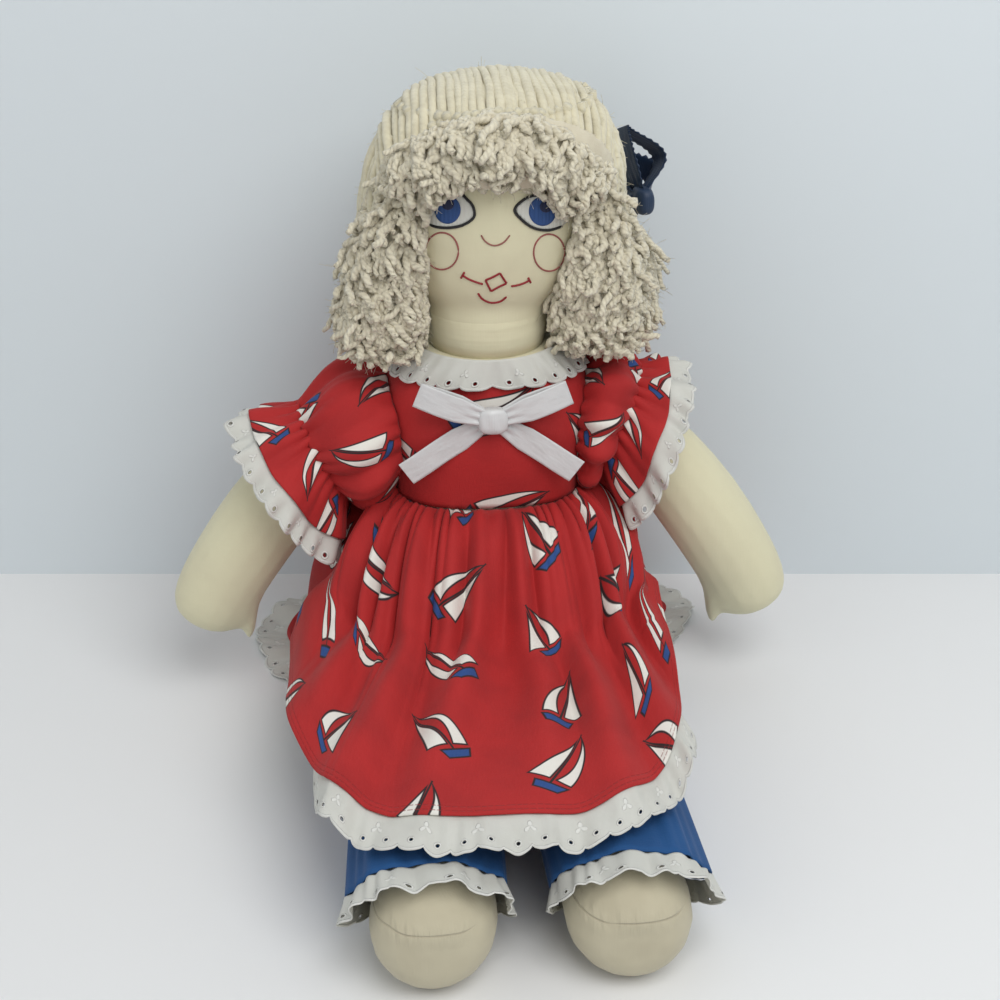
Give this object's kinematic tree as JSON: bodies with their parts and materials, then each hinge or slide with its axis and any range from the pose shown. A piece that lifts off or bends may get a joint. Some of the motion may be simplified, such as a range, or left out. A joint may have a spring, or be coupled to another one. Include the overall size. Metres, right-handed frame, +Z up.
{
  "type": "rag doll",
  "caption": "Seated stuffed rag doll with yarn hair, puff-sleeved gathered dress, ruffled pants and ribbon bows; soft sewn joints at neck, shoulders and hips.",
  "frame": {"origin": "on the flat underside of the seat, under the middle of the trunk", "axes": "+Z up, the doll faces -Y, +X is the doll's own left"},
  "size_m": [0.3939, 0.4415, 0.3963],
  "materials": {
    "muslin": "matt woven cream cotton",
    "yarn": "soft cream yarn",
    "dress_cotton": "printed red cotton",
    "eyelet_lace": "white eyelet embroidery",
    "white_satin": "white satin ribbon",
    "navy_ribbon": "navy ribbon with picot edge",
    "pants_cotton": "plain blue cotton"
  },
  "bodies": {
    "trunk": {"torso": "muslin", "bodice": "dress_cotton", "neck_lace": "eyelet_lace", "skirt": "dress_cotton", "hem_lace": "eyelet_lace", "pants_seat": "pants_cotton", "chest_bow_knot": "white_satin", "chest_bow_loop_left": "white_satin", "chest_bow_loop_right": "white_satin", "chest_bow_tail_left": "white_satin", "chest_bow_tail_right": "white_satin"},
    "neck": {"neck": "muslin"},
    "head": {"head": "muslin", "hair_crown": "yarn", "hair_fringe": "yarn", "hair_lock_left": "yarn", "hair_lock_right": "yarn", "hair_tail": "yarn", "hair_bow_knot": "navy_ribbon", "hair_bow_loop_left": "navy_ribbon", "hair_bow_loop_right": "navy_ribbon", "hair_bow_tail_left": "navy_ribbon", "hair_bow_tail_right": "navy_ribbon"},
    "shoulder_left": {"arm_gather_left": "muslin", "sleeve_left": "dress_cotton"},
    "shoulder_right": {"arm_gather_right": "muslin", "sleeve_right": "dress_cotton"},
    "arm_left": {"arm_left": "muslin", "sleeve_ruffle_left": "dress_cotton", "sleeve_lace_left": "eyelet_lace"},
    "arm_right": {"arm_right": "muslin", "sleeve_ruffle_right": "dress_cotton", "sleeve_lace_right": "eyelet_lace"},
    "leg_left": {"leg_left": "muslin", "pants_leg_left": "pants_cotton", "pants_lace_left": "eyelet_lace"},
    "leg_right": {"leg_right": "muslin", "pants_leg_right": "pants_cotton", "pants_lace_right": "eyelet_lace"}
  },
  "joints": [
    {"name": "neck_nod", "type": "hinge", "parent": "trunk", "child": "neck", "pos_m": [0, 0, 0.25], "axis": [1, 0, 0], "range_deg": [-12, 12], "deforming": ["neck_lace", "hair_lock_left", "hair_lock_right", "hair_tail"]},
    {"name": "head_turn", "type": "hinge", "parent": "neck", "child": "head", "pos_m": [0, 0, 0.2623], "axis": [0, 0, 1], "range_deg": [-35, 35]},
    {"name": "arm_lift_left", "type": "hinge", "parent": "trunk", "child": "shoulder_left", "pos_m": [0.0641, 0, 0.203], "axis": [0, -1, 0], "range_deg": [-10, 75], "deforming": ["sleeve_left", "skirt"]},
    {"name": "arm_lift_right", "type": "hinge", "parent": "trunk", "child": "shoulder_right", "pos_m": [-0.0641, 0, 0.203], "axis": [0, 1, 0], "range_deg": [-10, 75], "deforming": ["sleeve_right"]},
    {"name": "arm_swing_left", "type": "hinge", "parent": "shoulder_left", "child": "arm_left", "pos_m": [0.07395, -0.0009, 0.19381], "axis": [-0.682, 0, -0.7313], "range_deg": [-35, 45], "deforming": ["sleeve_ruffle_left", "sleeve_lace_left"]},
    {"name": "arm_swing_right", "type": "hinge", "parent": "shoulder_right", "child": "arm_right", "pos_m": [-0.07442, -0.0009, 0.19434], "axis": [-0.6428, 0, 0.766], "range_deg": [-35, 45], "deforming": ["sleeve_ruffle_right", "sleeve_lace_right"]},
    {"name": "hip_left", "type": "hinge", "parent": "trunk", "child": "leg_left", "pos_m": [0.04, -0.04556, 0.03], "axis": [-1, 0, 0], "range_deg": [-90, 0], "deforming": ["pants_leg_left", "pants_lace_left", "pants_seat", "hem_lace"]},
    {"name": "hip_right", "type": "hinge", "parent": "trunk", "child": "leg_right", "pos_m": [-0.04, -0.04556, 0.03], "axis": [-1, 0, 0], "range_deg": [-90, 0], "deforming": ["pants_leg_right", "pants_lace_right"]}
  ]
}
